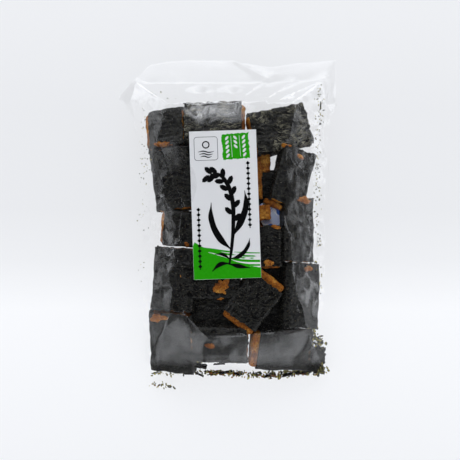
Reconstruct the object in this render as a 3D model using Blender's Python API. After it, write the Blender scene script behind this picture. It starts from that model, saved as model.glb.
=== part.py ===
"""A sealed clear film bag full of rice crackers, lying on its back with its paper label up.

The film and the crackers inside it are one solid out to the film. The bag's top seal is
towards +Y, its front faces +Z, and it rests on the flat of its back at Z = 0.
"""

import bmesh
import bpy
import math

MM = 0.001

# Driving dimensions
BAG_LENGTH = 234 * MM  # end of the top seal to the folded bottom
SEAL_WIDTH = 153.4 * MM  # the empty film tube laid flat, as at the top seal
BODY_WIDTH = 133.8 * MM  # the filled part, drawn in by its depth
BODY_SHIFT = 3.5 * MM  # the filled part lies a little right of the seal's middle
BODY_DEPTH = 38.5 * MM  # back to front, at its fullest
TOP_FALL = 10 * MM  # how much flatter the front lies near the top
FULLEST_Y = -45 * MM
FRONT_CROWN = 1.5 * MM
FILM_EDGE = 1 * MM  # thickness of the flap and of the side fold
LABEL_WIDTH = 45.6 * MM
LABEL_LENGTH = 100.8 * MM
LABEL_THICKNESS = 0.35 * MM
LABEL_GAP = 0.4 * MM
LABEL_X = -1.6 * MM
LABEL_Y = 14.2 * MM
LABEL_TURN = math.radians(2)

# How finely the bag is divided
ACROSS = 18  # pieces along the top side and the bottom side of each loop
ALONG = 34  # pieces along the left side and the right side
SLOPE_RINGS = 5
EDGE_RINGS = 3
BACK_RINGS = 4
LABEL_ACROSS = 10
LABEL_ALONG = 20

TOP = BAG_LENGTH / 2
BOTTOM = -BAG_LENGTH / 2
SEAL_RIGHT = SEAL_WIDTH / 2
EAR_LEFT = -SEAL_WIDTH / 2
RIGHT = BODY_SHIFT + BODY_WIDTH / 2
LEFT = BODY_SHIFT - BODY_WIDTH / 2

# Each loop goes round the bag as four sides, which meet at the four folded corners:
# along the top to the right, down the right, along the bottom to the left, up the left.


def front_height(x, y):
    """Height of the film over the bag's front, inside its creases."""
    fall = TOP_FALL * ((y - FULLEST_Y) / (TOP - FULLEST_Y)) ** 2
    crown = FRONT_CROWN * (1 - ((x - BODY_SHIFT) / (BODY_WIDTH / 2)) ** 2)
    wave_across = math.sin(x / (9 * MM) + 0.6)
    wave_along = math.sin(y / (11 * MM) + x / (30 * MM))
    return BODY_DEPTH - FRONT_CROWN - fall + crown + 0.35 * MM * wave_across * wave_along


def on_front(points):
    """Lift points given in millimetres onto the bag's front."""
    return [(x * MM, y * MM, front_height(x * MM, y * MM)) for x, y in points]


def in_mm(points):
    return [(x * MM, y * MM, z * MM) for x, y, z in points]


def crease_loop():
    """The crease where the front breaks into the slopes down to the edges."""
    return [
        on_front([(-40.3, 82.5), (-5, 84.5), (44, 84)]),
        on_front([(44, 84), (45.2, 73), (41.7, 58), (39.6, 0), (46.3, -41), (54.7, -71)]),
        on_front([(54.7, -71), (9, -76), (-15, -76.5), (-30.5, -61), (-39.6, -60.5)]),
        on_front([(-39.6, -60.5), (-35.4, -25.6), (-31.2, 14.4), (-47.3, 55), (-40.3, 82.5)]),
    ]


def shoulder_loop():
    """The foot of the front's slopes: the fold under the top flap, and inside the edges."""
    return [
        in_mm([(-64.5, 99.4, 13.5), (29.8, 99.7, 14), (68, 101.5, 13)]),
        in_mm([(68, 101.5, 13), (69, 88, 15), (66.5, 70, 19), (66.4, -60, 22), (66, -97, 19)]),
        in_mm([(66, -97, 19), (49, -111, 17), (-51, -111, 16), (-59, -103, 17)]),
        in_mm([(-59, -103, 17), (-59.6, -60, 22), (-59.6, 45, 20), (-67.5, 87, 14), (-64.5, 99.4, 13.5)]),
    ]


def outline_loop():
    """The bag's outer edge seen from above, with its ear at the left and the wavy top seal."""
    right, left = RIGHT / MM, LEFT / MM
    top, bottom = TOP / MM, BOTTOM / MM
    corner, ear = SEAL_RIGHT / MM, EAR_LEFT / MM
    seal = [
        (-66.2, 101.4, 13),
        (-54.3, 113, 11),
        (-43.8, 115.5, 10),
        (-31.2, top, 9.5),
        (2.5, 116.6, 9.5),
        (30.5, 111.3, 11.5),
        (46.5, 114, 10),
        (corner, top, 8.5),
    ]
    right_edge = [
        (corner, top, 8.5),
        (corner - 0.4, 84, 12),
        (right + 1.6, 66, 14),
        (right, 46, 15),
        (right, -70, 15),
        (right, -102.6, 12),
    ]
    bottom_edge = [
        (right, -102.6, 12),
        (50.8, bottom, 8),
        (-52.9, bottom, 7),
        (left, -108.2, 11),
    ]
    left_edge = [
        (left, -108.2, 11),
        (left, -70, 15),
        (left, 55, 14.5),
        (left - 2.5, 73, 13.5),
        (left - 6.3, 81, 13),
        (ear, 89.3, 12.5),
        (ear + 2.2, 93, 12.5),
        (-66.2, 101.4, 13),
    ]
    return [in_mm(side) for side in (seal, right_edge, bottom_edge, left_edge)]


def heel_loop():
    """Where the back leaves the edges: the back of the flap's fold, and under the side folds."""
    return [
        in_mm([(-64.5, 99.4, 12), (29.8, 99.7, 12.5), (68, 101.5, 11.5)]),
        in_mm([(68, 101.5, 11.5), (69.5, 84, 8.5), (67.8, 60, 7), (67.8, -70, 7), (67.5, -99, 5)]),
        in_mm([(67.5, -99, 5), (50, -115, 2.6), (-52, -115, 2.4), (-60.8, -105.5, 5)]),
        in_mm([(-60.8, -105.5, 5), (-61, -60, 7), (-61, 55, 7), (-69, 86, 8.5), (-64.5, 99.4, 12)]),
    ]


def back_loop():
    """The edge of the flat that the bag rests on."""
    return [
        in_mm([(-45, 86, 0), (48, 87, 0)]),
        in_mm([(48, 87, 0), (60, 66, 0), (60, -60, 0), (57, -93, 0)]),
        in_mm([(57, -93, 0), (44, -106, 0), (-44, -106, 0), (-50, -96, 0)]),
        in_mm([(-50, -96, 0), (-53, -60, 0), (-53, 62, 0), (-45, 86, 0)]),
    ]


def mix(start, end, share):
    return tuple(a + (b - a) * share for a, b in zip(start, end))


def divide(points, count):
    """Divide a path into pieces of nearly equal length, keeping each of its own points."""
    reach = [0.0]
    for start, end in zip(points, points[1:]):
        reach.append(reach[-1] + math.dist(start, end))
    places = [reach[-1] * step / count for step in range(count + 1)]
    for corner in reach[1:-1]:
        nearest = min(range(1, count), key=lambda step: abs(places[step] - corner))
        places[nearest] = corner
    path = []
    for place in places:
        leg = max(i for i in range(len(points) - 1) if reach[i] <= place + 1e-9)
        share = min((place - reach[leg]) / (reach[leg + 1] - reach[leg]), 1.0)
        path.append(mix(points[leg], points[leg + 1], share))
    return path


def divide_loop(sides):
    """The four sides of a loop, divided so that every loop has the same count of points."""
    return [divide(side, count) for side, count in zip(sides, (ACROSS, ALONG, ACROSS, ALONG))]


def ring_between(first, last, share, swell):
    """A loop part of the way between two others, pushed up in the middle of each side."""
    ring = []
    for start_side, end_side, lift in zip(first, last, swell):
        count = len(start_side) - 1
        side = []
        for step, (start, end) in enumerate(zip(start_side, end_side)):
            x, y, z = mix(start, end, share)
            fullness = math.sin(math.pi * step / count) ** 0.5 if 0 < step < count else 0
            side.append((x, y, z + lift * fullness * math.sin(math.pi * share)))
        ring.append(side)
    return ring


def shift_loop(sides, rise):
    return [[(x, y, z + rise) for x, y, z in side] for side in sides]


def loop_verts(bm, sides):
    """Add a loop's vertices, once each, in order from the top left corner."""
    return [bm.verts.new(point) for side in sides for point in side[:-1]]


def join_rings(bm, upper, lower):
    count = len(upper)
    for i in range(count):
        j = (i + 1) % count
        bm.faces.new((upper[i], upper[j], lower[j], lower[i]))


def fill_loop(bm, ring, height, face_up):
    """Fill a loop with a grid that runs between its four sides."""
    top = ring[: ACROSS + 1]
    right = ring[ACROSS : ACROSS + ALONG + 1]
    bottom = ring[ACROSS + ALONG : 2 * ACROSS + ALONG + 1][::-1]
    left = (ring[2 * ACROSS + ALONG :] + ring[:1])[::-1]
    rows = [top]
    for row in range(1, ALONG):
        v = row / ALONG
        line = [left[row]]
        for column in range(1, ACROSS):
            u = column / ACROSS
            sides_mix = left[row].co.lerp(right[row].co, u)
            ends_mix = top[column].co.lerp(bottom[column].co, v)
            top_corners = top[0].co.lerp(top[-1].co, u)
            bottom_corners = bottom[0].co.lerp(bottom[-1].co, u)
            place = sides_mix + ends_mix - top_corners.lerp(bottom_corners, v)
            line.append(bm.verts.new((place.x, place.y, height(place.x, place.y))))
        line.append(right[row])
        rows.append(line)
    rows.append(bottom)
    for upper, lower in zip(rows, rows[1:]):
        for column in range(ACROSS):
            corners = [upper[column], upper[column + 1], lower[column + 1], lower[column]]
            bm.faces.new(corners[::-1] if face_up else corners)


def film_material():
    material = bpy.data.materials.new("clear_film")
    material.use_nodes = True
    shader = material.node_tree.nodes["Principled BSDF"]
    shader.inputs["Base Color"].default_value = (0.045, 0.048, 0.045, 1)
    shader.inputs["Roughness"].default_value = 0.12
    shader.inputs["Metallic"].default_value = 0
    return material


def label_material():
    material = bpy.data.materials.new("label_paper")
    material.use_nodes = True
    shader = material.node_tree.nodes["Principled BSDF"]
    shader.inputs["Base Color"].default_value = (0.75, 0.76, 0.76, 1)
    shader.inputs["Roughness"].default_value = 0.45
    shader.inputs["Metallic"].default_value = 0
    return material


def finish_object(name, bm, material):
    mesh = bpy.data.meshes.new(name)
    bm.to_mesh(mesh)
    bm.free()
    mesh.shade_smooth()
    mesh.set_sharp_from_angle(angle=math.radians(30))
    mesh.materials.append(material)
    piece = bpy.data.objects.new(name, mesh)
    bpy.context.collection.objects.link(piece)
    return piece


def make_bag():
    """Rings from the front's crease out to the edge, and back in under it, then both fills."""
    crease = divide_loop(crease_loop())
    shoulder = divide_loop(shoulder_loop())
    outline = divide_loop(outline_loop())
    heel = divide_loop(heel_loop())
    back = divide_loop(back_loop())

    slope_swell = (-1.5 * MM, 2.5 * MM, 4 * MM, 2.5 * MM)
    edge_swell = (0.4 * MM, 0.8 * MM, 0.8 * MM, 0.8 * MM)
    flat = (0, 0, 0, 0)
    rings = [ring_between(crease, shoulder, i / SLOPE_RINGS, slope_swell) for i in range(SLOPE_RINGS)]
    rings += [ring_between(shoulder, outline, i / EDGE_RINGS, edge_swell) for i in range(EDGE_RINGS)]
    rings.append(outline)
    underside = shift_loop(outline, -FILM_EDGE)
    rings += [ring_between(underside, heel, i / EDGE_RINGS, flat) for i in range(EDGE_RINGS)]
    rings += [ring_between(heel, back, i / BACK_RINGS, flat) for i in range(BACK_RINGS)]
    rings.append(back)

    bm = bmesh.new()
    loops = [loop_verts(bm, ring) for ring in rings]
    for upper, lower in zip(loops, loops[1:]):
        join_rings(bm, upper, lower)
    fill_loop(bm, loops[0], front_height, face_up=True)
    fill_loop(bm, loops[-1], lambda x, y: 0.0, face_up=False)
    bmesh.ops.recalc_face_normals(bm, faces=bm.faces)
    return finish_object("bag", bm, film_material())


def make_label():
    """A thin sheet laid on the front, turned a little anticlockwise."""
    bm = bmesh.new()
    bmesh.ops.create_grid(bm, x_segments=LABEL_ACROSS, y_segments=LABEL_ALONG, size=0.5)
    cosine, sine = math.cos(LABEL_TURN), math.sin(LABEL_TURN)
    for vert in bm.verts:
        across = vert.co.x * LABEL_WIDTH
        along = vert.co.y * LABEL_LENGTH
        x = LABEL_X + across * cosine - along * sine
        y = LABEL_Y + across * sine + along * cosine
        vert.co = (x, y, front_height(x, y) + LABEL_GAP)
    label = finish_object("label", bm, label_material())
    solid = label.modifiers.new("thickness", "SOLIDIFY")
    solid.thickness = LABEL_THICKNESS
    solid.offset = 1
    return label


def main():
    for old in list(bpy.data.objects):
        bpy.data.objects.remove(old, do_unlink=True)
    make_bag()
    make_label()


main()
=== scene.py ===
"""The looks of a sealed clear film bag of seaweed rice crackers with a paper label."""

import math
import random

import bmesh
import bpy
import numpy as np
from mathutils import Matrix, Vector, noise
from mathutils.bvhtree import BVHTree


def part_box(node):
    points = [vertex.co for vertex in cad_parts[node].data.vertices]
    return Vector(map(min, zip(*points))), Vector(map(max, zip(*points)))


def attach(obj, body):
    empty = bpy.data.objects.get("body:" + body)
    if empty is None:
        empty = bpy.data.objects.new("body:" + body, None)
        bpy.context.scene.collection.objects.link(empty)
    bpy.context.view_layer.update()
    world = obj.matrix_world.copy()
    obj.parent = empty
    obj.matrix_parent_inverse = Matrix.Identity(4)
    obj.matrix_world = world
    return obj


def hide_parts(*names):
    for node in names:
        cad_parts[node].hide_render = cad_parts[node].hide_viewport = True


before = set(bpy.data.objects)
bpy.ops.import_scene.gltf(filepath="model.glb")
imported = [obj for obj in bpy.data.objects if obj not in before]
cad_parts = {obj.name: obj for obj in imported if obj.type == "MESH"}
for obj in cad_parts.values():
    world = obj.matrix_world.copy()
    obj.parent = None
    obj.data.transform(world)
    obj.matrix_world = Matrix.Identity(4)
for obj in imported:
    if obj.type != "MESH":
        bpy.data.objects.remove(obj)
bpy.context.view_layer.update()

MM = 0.001
rng = random.Random(11)

LABEL_LOW, LABEL_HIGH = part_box("label")
LABEL_CENTRE = (LABEL_LOW + LABEL_HIGH) / 2
LABEL_WIDTH = 45.6 * MM
LABEL_LENGTH = 100.8 * MM
LABEL_TURN = math.radians(2)
WELD = 0.01 * MM  # points of a CAD node nearer than this are one


# ---------------------------------------------------------------- helpers


def ease(value, start, end):
    """0 at the start, 1 at the end, and even between them."""
    return min(1.0, max(0.0, (value - start) / (end - start)))


def take_up(*pieces):
    """Select only these pieces, the first one active."""
    bpy.ops.object.select_all(action="DESELECT")
    for piece in pieces:
        piece.select_set(True)
    bpy.context.view_layer.objects.active = pieces[0]


def start_from(primitive, **measures):
    """Add a primitive with nothing else selected."""
    bpy.ops.object.select_all(action="DESELECT")
    primitive(**measures)
    return bpy.context.object


def settle(*pieces):
    """Put the pieces' places, turns and sizes into their meshes."""
    take_up(*pieces)
    bpy.ops.object.transform_apply(location=True, rotation=True, scale=True)


def open_mesh(piece, action="SELECT"):
    """Start to edit a piece, with all of it or none of it selected."""
    take_up(piece)
    bpy.ops.object.mode_set(mode="EDIT")
    bpy.ops.mesh.select_all(action=action)


def close_mesh():
    bpy.ops.object.mode_set(mode="OBJECT")


def pick(piece, kind, is_wanted):
    """While editing, select only the faces or the points that are wanted."""
    bpy.ops.mesh.select_mode(type=kind)
    bpy.ops.mesh.select_all(action="DESELECT")
    mesh = bmesh.from_edit_mesh(piece.data)
    for element in mesh.faces if kind == "FACE" else mesh.verts:
        element.select_set(is_wanted(element))
    bmesh.update_edit_mesh(piece.data)


def duplicate(piece, name):
    copy = piece.copy()
    copy.data = piece.data.copy()
    copy.name = name
    copy.hide_viewport = copy.hide_render = False
    bpy.context.collection.objects.link(copy)
    return copy


def copy_of_node(node, name):
    """A copy of a CAD node with its loose triangles merged, open for editing."""
    piece = duplicate(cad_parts[node], name)
    for key in list(piece.keys()):
        del piece[key]
    piece.parent = None
    open_mesh(piece)
    bpy.ops.mesh.remove_doubles(threshold=WELD)
    return piece


def finish_modifiers(piece):
    take_up(piece)
    for modifier in list(piece.modifiers):
        bpy.ops.object.modifier_apply(modifier=modifier.name)


def give_wall(piece, thickness):
    """Turn a flat sheet into one with a thickness."""
    wall = piece.modifiers.new("wall", "SOLIDIFY")
    wall.thickness = thickness
    finish_modifiers(piece)


def round_off(piece, levels):
    smooth = piece.modifiers.new("smooth", "SUBSURF")
    smooth.levels = smooth.render_levels = levels


def discard(*pieces):
    for piece in pieces:
        bpy.data.objects.remove(piece, do_unlink=True)


def join_all(pieces, name):
    take_up(*pieces)
    if len(pieces) > 1:
        bpy.ops.object.join()
    joined = bpy.context.object
    joined.name = joined.data.name = name
    return joined


def coat(piece, material):
    """Give the whole piece one finish, and leave it taken up for its shading."""
    piece.vertex_groups.clear()
    piece.data.materials.clear()
    piece.data.materials.append(material)
    take_up(piece)


def hand_over(piece, slot, *nodes):
    """Every piece rides on the one body and stands for CAD nodes, which are hidden; the slot is not used.
    """
    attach(piece, "root")
    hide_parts(*nodes)
    return piece


def put_together(pieces, name, slot, material):
    """Join pieces of one kind for the inside of the bag."""
    joined = join_all(pieces, name)
    coat(joined, material)
    bpy.ops.object.shade_smooth()
    return hand_over(joined, slot, "bag")


def surface_of(piece, from_below=False):
    """A lookup of a piece's height over a place, met from above or from below."""
    tree = BVHTree.FromPolygons(
        [v.co for v in piece.data.vertices], [tuple(p.vertices) for p in piece.data.polygons]
    )
    start, way = (-1, 1) if from_below else (1, -1)

    def height_at(x, y):
        hit = tree.ray_cast(Vector((x, y, start)), Vector((0, 0, way)))[0]
        return hit.z if hit else 0.0

    return height_at


front_height = surface_of(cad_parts["bag"])
back_height = surface_of(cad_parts["bag"], from_below=True)


# ---------------------------------------------------------------- relief


def cloud_texture(name, size, depth=2):
    texture = bpy.data.textures.new(name, "CLOUDS")
    texture.noise_scale = size
    texture.noise_depth = depth
    return texture


def ridge_texture(name, size):
    texture = bpy.data.textures.new(name, "MUSGRAVE")
    texture.musgrave_type = "RIDGED_MULTIFRACTAL"
    texture.noise_scale = size
    texture.octaves = 3
    return texture


def guide_at(place, turn=0.0, scale=(1, 1, 1)):
    """An empty that a relief texture follows, so that each piece shows another part of it."""
    guide = bpy.data.objects.new("guide", None)
    bpy.context.collection.objects.link(guide)
    guide.location = place
    guide.rotation_euler = (0, 0, turn)
    guide.scale = scale
    return guide


def press_relief(piece, texture, strength, direction="NORMAL", group="", guide=None):
    relief = piece.modifiers.new("relief", "DISPLACE")
    relief.texture = texture
    relief.mid_level = 0.5 if texture else 0.0
    relief.strength = strength
    relief.direction = direction
    relief.vertex_group = group
    if guide:
        relief.texture_coords = "OBJECT"
        relief.texture_coords_object = guide


def roughen(piece, place, *reliefs):
    """Press reliefs into a piece, each a texture and how deep it goes."""
    guide = guide_at(place)
    bpy.context.view_layer.update()
    for texture, strength in reliefs:
        press_relief(piece, texture, strength, guide=guide)
    finish_modifiers(piece)
    discard(guide)


DENTS = cloud_texture("dents", 13 * MM)
PUFFS = cloud_texture("puffs", 2.6 * MM)
TEARS = cloud_texture("tears", 4 * MM, depth=3)
CRUMPLE = ridge_texture("crumple", 1)  # its guides give it its size
FOLDS = bpy.data.textures.new("folds", "MARBLE")
FOLDS.marble_type = "SHARP"
FOLDS.noise_scale = 1.6
FOLDS.turbulence = 15
FOLDS.noise_depth = 2


# ---------------------------------------------------------------- colours and material nodes

MULTIPLY, ADD, SUBTRACT, MULTIPLY_ADD, ABSOLUTE, POWER, MAXIMUM = (
    {"operation": name}
    for name in ("MULTIPLY", "ADD", "SUBTRACT", "MULTIPLY_ADD", "ABSOLUTE", "POWER", "MAXIMUM")
)
SMOOTH = {"interpolation_type": "SMOOTHSTEP"}
COLOURS = {"data_type": "RGBA"}


def colour(hex_code):
    """An sRGB hex colour as linear values."""
    values = [int(hex_code[i : i + 2], 16) / 255 for i in (0, 2, 4)]
    linear = [v / 12.92 if v <= 0.04045 else ((v + 0.055) / 1.055) ** 2.4 for v in values]
    return (*linear, 1.0)


def add_node(material, kind, settings=None, stops=(), **links):
    """Add a node, set its properties and its ramp, and set its inputs by name or number or link them.

    A ramp's stops are each a position and a hex colour or linear values. A link comes from a socket,
    or from a whole node, which then gives its first output in use.
    """
    tree = material.node_tree
    node = tree.nodes.new("ShaderNode" + kind)
    for key, value in (settings or {}).items():
        setattr(node, key, value)
    while stops and len(node.color_ramp.elements) < len(stops):
        node.color_ramp.elements.new(0.5)
    for number, (position, shade) in enumerate(stops):
        element = node.color_ramp.elements[number]
        element.position = position
        element.color = colour(shade) if isinstance(shade, str) else shade
    for key, value in links.items():
        is_number = key[0] == "_" and key[1:].isdigit()
        socket = node.inputs[int(key[1:]) if is_number else key.replace("_", " ")]
        if isinstance(value, bpy.types.Node):
            value = next(output for output in value.outputs if output.enabled)
        if isinstance(value, bpy.types.NodeSocket):
            tree.links.new(value, socket)
        else:
            socket.default_value = value
    return node


def new_material(name):
    material = bpy.data.materials.new(name)
    material.use_nodes = True
    material.node_tree.nodes.clear()
    return material


def seaweed_material():
    """Dried pressed laver: black-green matted fronds, satin, with dry pale creases and brown flecks, and a
    painted highlight of pale olive along the fibres of the most creased crackers.
    """
    material = new_material("pressed_dried_seaweed")
    place = add_node(material, "TexCoord").outputs["Object"]
    drift = add_node(material, "TexNoise", Vector=place, Scale=1 / (11 * MM), Detail=2.0)
    centred = add_node(
        material, "VectorMath", SUBTRACT, _0=drift.outputs["Color"], _1=(0.5, 0.5, 0.5)
    )
    swayed = add_node(
        material, "VectorMath", MULTIPLY_ADD, _0=centred, _1=(9 * MM, 9 * MM, 9 * MM), _2=place
    )
    drawn_out = add_node(material, "Mapping", Vector=swayed, Scale=(0.55, 1.0, 1.0))
    creases = add_node(
        material, "TexNoise", {"noise_type": "RIDGED_MULTIFRACTAL"}, Vector=drawn_out,
        Scale=1 / (2.6 * MM), Detail=4.0, Roughness=0.55, Lacunarity=2.3, Offset=0.9, Gain=2.0,
    )
    mats = add_node(
        material, "TexNoise", Vector=place, Scale=1 / (1.1 * MM), Detail=4.0, Roughness=0.6
    )
    flecks = add_node(material, "TexNoise", Vector=place, Scale=1 / (0.9 * MM), Detail=2.0)
    tone = add_node(
        material, "ValToRGB", Fac=mats, stops=[(0.35, "020203"), (0.52, "040405"), (0.7, "0e0e0c")]
    )
    crease_tone = add_node(
        material, "ValToRGB", Fac=creases, stops=[(0.7, "000000"), (0.95, "0d0d0b"), (1.0, "1b1b17")]
    )
    fleck_tone = add_node(material, "ValToRGB", Fac=flecks, stops=[(0.64, "000000"), (0.72, "4a3d26")])
    added = {"data_type": "RGBA", "blend_type": "ADD"}
    creased = add_node(material, "Mix", added, _0=1.0, _6=tone, _7=crease_tone)
    base = add_node(material, "Mix", added, _0=0.7, _6=creased, _7=fleck_tone)
    # Rice dust is finer than this; it is drawn as coarse as it needs to show
    grains = add_node(
        material, "TexNoise", Vector=place, Scale=1 / (1.2 * MM), Detail=1.0, Roughness=0.4
    )
    dust = add_node(material, "MapRange", Value=grains, From_Min=0.67, From_Max=0.75, To_Max=0.17)
    dusty = add_node(material, "Mix", COLOURS, _0=dust, _6=base, _7=colour("a39d8f"))
    # Painted highlight: where the sheet is most creased, on the top-row crackers where the light falls,
    # its combed fibres are painted pale olive along their ridges, in patches
    combed = add_node(material, "Mapping", Vector=swayed, Scale=(0.3, 1.0, 1.0))
    fibres = add_node(
        material, "TexNoise", Vector=combed, Scale=1 / (3.6 * MM), Detail=4.0, Roughness=0.62,
        Distortion=0.5,
    )
    shifted = add_node(material, "Math", SUBTRACT, _0=fibres, _1=0.5)
    off_line = add_node(material, "Math", ABSOLUTE, _0=shifted)
    ridges = add_node(material, "MapRange", Value=off_line, From_Min=0.036, From_Max=0.006)
    gathered = add_node(material, "MapRange", Value=drift, From_Min=0.42, From_Max=0.62)
    ridge_highlight_share = add_node(material, "Attribute", {"attribute_name": "ridge_highlight_share"})
    share = add_node(material, "Math", MULTIPLY, _0=gathered, _1=ridge_highlight_share.outputs["Fac"])
    painted_ridge_highlight = add_node(material, "Math", MULTIPLY, _0=ridges, _1=share)
    # The pale olive here is a painted highlight on the ridges
    surface = add_node(material, "Mix", COLOURS, _0=painted_ridge_highlight, _6=dusty, _7=colour("8f8b76"))
    matted = add_node(material, "Math", MULTIPLY_ADD, _0=mats, _1=0.8, _2=creases)
    heights = add_node(material, "Math", ADD, _0=matted, _1=painted_ridge_highlight)
    bump = add_node(material, "Bump", Strength=0.8, Distance=0.16 * MM, Height=heights)
    rough = add_node(material, "MapRange", Value=mats, To_Min=0.2, To_Max=0.32)
    shader = add_node(
        material, "BsdfPrincipled", Base_Color=surface, Roughness=rough, Normal=bump, IOR=1.25
    )
    add_node(material, "OutputMaterial", Surface=shader)
    return material


def cracker_material():
    """Baked puffed rice under a thin soy glaze: orange-brown, pitted, paler where it has popped."""
    material = new_material("baked_rice_cracker")
    place = add_node(material, "TexCoord").outputs["Object"]
    tint = add_node(material, "TexNoise", Vector=place, Scale=1 / (7 * MM), Detail=4.0)
    pits = add_node(material, "TexVoronoi", Vector=place, Scale=1 / (1.6 * MM))
    grain = add_node(material, "TexNoise", Vector=place, Scale=1 / (0.8 * MM), Detail=4.0)
    base = add_node(
        material, "ValToRGB", Fac=tint, stops=[(0.3, "62320a"), (0.5, "9a5c16"), (0.7, "cc9640")]
    )
    speckle = add_node(material, "ValToRGB", Fac=grain, stops=[(0.38, "7a4520"), (0.58, "ffffff")])
    multiplied = {"data_type": "RGBA", "blend_type": "MULTIPLY"}
    shade = add_node(material, "Mix", multiplied, _0=0.75, _6=base, _7=speckle)
    bump = add_node(
        material, "Bump", Strength=0.6, Distance=0.5 * MM, Height=pits.outputs["Distance"]
    )
    shader = add_node(
        material, "BsdfPrincipled", Base_Color=shade, Roughness=0.55, Normal=bump, IOR=1.22
    )
    add_node(material, "OutputMaterial", Surface=shader)
    return material


FILM_MIRROR = 0.055  # face on, both faces of the film together
FILM_GLEAM = 0.115  # what finely gathered film adds to that
GRAZING_MIRROR = 0.33  # at the most slanting look
WISPS_START, WISPS_FULL = -64 * MM, -50 * MM  # along the bag: its foot is free of wisps
WISPS_FADE, WISPS_FAINT = 54 * MM, 68 * MM  # and its shoulder nearly so


def film_material():
    """Clear cast film: nearly invisible face on, its outside mirroring the room where it slopes."""
    material = new_material("clear_cast_film")
    clear = add_node(material, "BsdfTransparent", Color=(1, 1, 1, 1))
    gloss = add_node(material, "BsdfAnisotropic", Color=(1, 1, 1, 1), Roughness=0.15)
    facing = add_node(material, "LayerWeight", Blend=0.5)
    grazing = add_node(material, "Math", POWER, _0=facing.outputs["Facing"], _1=4.0)
    drawn_in = add_node(material, "Attribute", {"attribute_name": "drawn_in"})
    gleam = add_node(
        material, "Math", MULTIPLY_ADD, _0=drawn_in.outputs["Fac"], _1=FILM_GLEAM, _2=FILM_MIRROR
    )
    faces = add_node(material, "NewGeometry")
    outside = add_node(material, "Math", SUBTRACT, _0=1.0, _1=faces.outputs["Backfacing"])
    # Fine lengthwise wrinkles that are too small to model gleam in wisps
    place = add_node(material, "TexCoord").outputs["Object"]
    lengthwise = add_node(
        material, "Mapping", Vector=place, Rotation=(0, 0, 0.25), Scale=(1, 0.4, 1)
    )
    wisps = add_node(
        material, "TexNoise", Vector=lengthwise, Scale=1 / (8.5 * MM), Detail=3.0, Distortion=1.2
    )
    contrast = add_node(
        material, "MapRange", SMOOTH, Value=wisps, From_Min=0.38, From_Max=0.68, To_Min=-0.35,
        To_Max=0.85,
    )
    parts = add_node(material, "SeparateXYZ", Vector=place)
    above_foot = add_node(
        material, "MapRange", SMOOTH, Value=parts.outputs["Y"], From_Min=WISPS_START,
        From_Max=WISPS_FULL, To_Min=0.12, To_Max=1.0,
    )
    below_shoulder = add_node(
        material, "MapRange", SMOOTH, Value=parts.outputs["Y"], From_Min=WISPS_FADE,
        From_Max=WISPS_FAINT, To_Min=1.0, To_Max=0.3,
    )
    strong = add_node(material, "Math", MULTIPLY, _0=above_foot, _1=below_shoulder)
    wispy = add_node(material, "Math", MULTIPLY_ADD, _0=contrast, _1=strong, _2=1.0)
    face_on = add_node(material, "Math", MULTIPLY, _0=gleam, _1=wispy)
    mirror = add_node(
        material, "Math", MULTIPLY_ADD, _0=grazing, _1=GRAZING_MIRROR - FILM_MIRROR, _2=face_on
    )
    share = add_node(material, "Math", MULTIPLY, _0=mirror, _1=outside)
    skin = add_node(material, "MixShader", Fac=share, _1=clear, _2=gloss)
    add_node(material, "OutputMaterial", Surface=skin)
    return material


def label_material():
    """Coated label paper: near-white and even, with the least tooth and a soft sheen."""
    material = new_material("coated_label_paper")
    place = add_node(material, "TexCoord").outputs["Object"]
    tooth = add_node(material, "TexNoise", Vector=place, Scale=1 / (0.6 * MM), Detail=3.0)
    bump = add_node(material, "Bump", Strength=0.08, Distance=0.05 * MM, Height=tooth)
    shader = add_node(
        material, "BsdfPrincipled", Base_Color=colour("e0e0e1"), Roughness=0.42, Normal=bump, IOR=1.45
    )
    add_node(material, "OutputMaterial", Surface=shader)
    return material


def ink_material(name, hex_code):
    """Flat printing ink, a little uneven where the paper's tooth shows through."""
    material = new_material(name)
    place = add_node(material, "TexCoord").outputs["Object"]
    wear = add_node(material, "TexNoise", Vector=place, Scale=1 / (1.5 * MM), Detail=4.0)
    worn = tuple(min(1, c * 1.15 + 0.004) for c in colour(hex_code))
    base = add_node(material, "ValToRGB", Fac=wear, stops=[(0.3, hex_code), (0.8, worn)])
    shader = add_node(material, "BsdfPrincipled", Base_Color=base, Roughness=0.35, IOR=1.2)
    add_node(material, "OutputMaterial", Surface=shader)
    return material


def sachet_material():
    """Coated sachet paper, white with a fine slanting wave print and fields of pale blue ink."""
    material = new_material("printed_sachet_paper")
    place = add_node(material, "TexCoord").outputs["Object"]
    slanting = add_node(material, "Mapping", Vector=place, Rotation=(0, 0, math.radians(40)))
    waves = add_node(
        material, "TexWave", {"wave_type": "BANDS", "bands_direction": "X"}, Vector=slanting,
        Scale=0.31 / (1.2 * MM), Distortion=3, Detail=2.0, Detail_Scale=0.8,
    )
    print_tone = add_node(
        material, "ValToRGB", Fac=waves.outputs["Fac"], stops=[(0.34, "5f8ad8"), (0.58, "f4f6fa")]
    )
    blot = add_node(material, "TexNoise", Vector=slanting, Scale=1 / (9 * MM), Detail=1.0)
    field = add_node(
        material, "ValToRGB", Fac=blot, stops=[(0.42, "3f6cc4"), (0.45, "f4f6fa"), (0.56, "eceef2")]
    )
    edge = add_node(material, "MapRange", Value=blot, From_Min=0.46, From_Max=0.49)
    printed = add_node(material, "Mix", COLOURS, _0=edge, _6=field, _7=print_tone)
    shader = add_node(material, "BsdfPrincipled", Base_Color=printed, Roughness=0.4, IOR=1.45)
    add_node(material, "OutputMaterial", Surface=shader)
    return material


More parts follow.
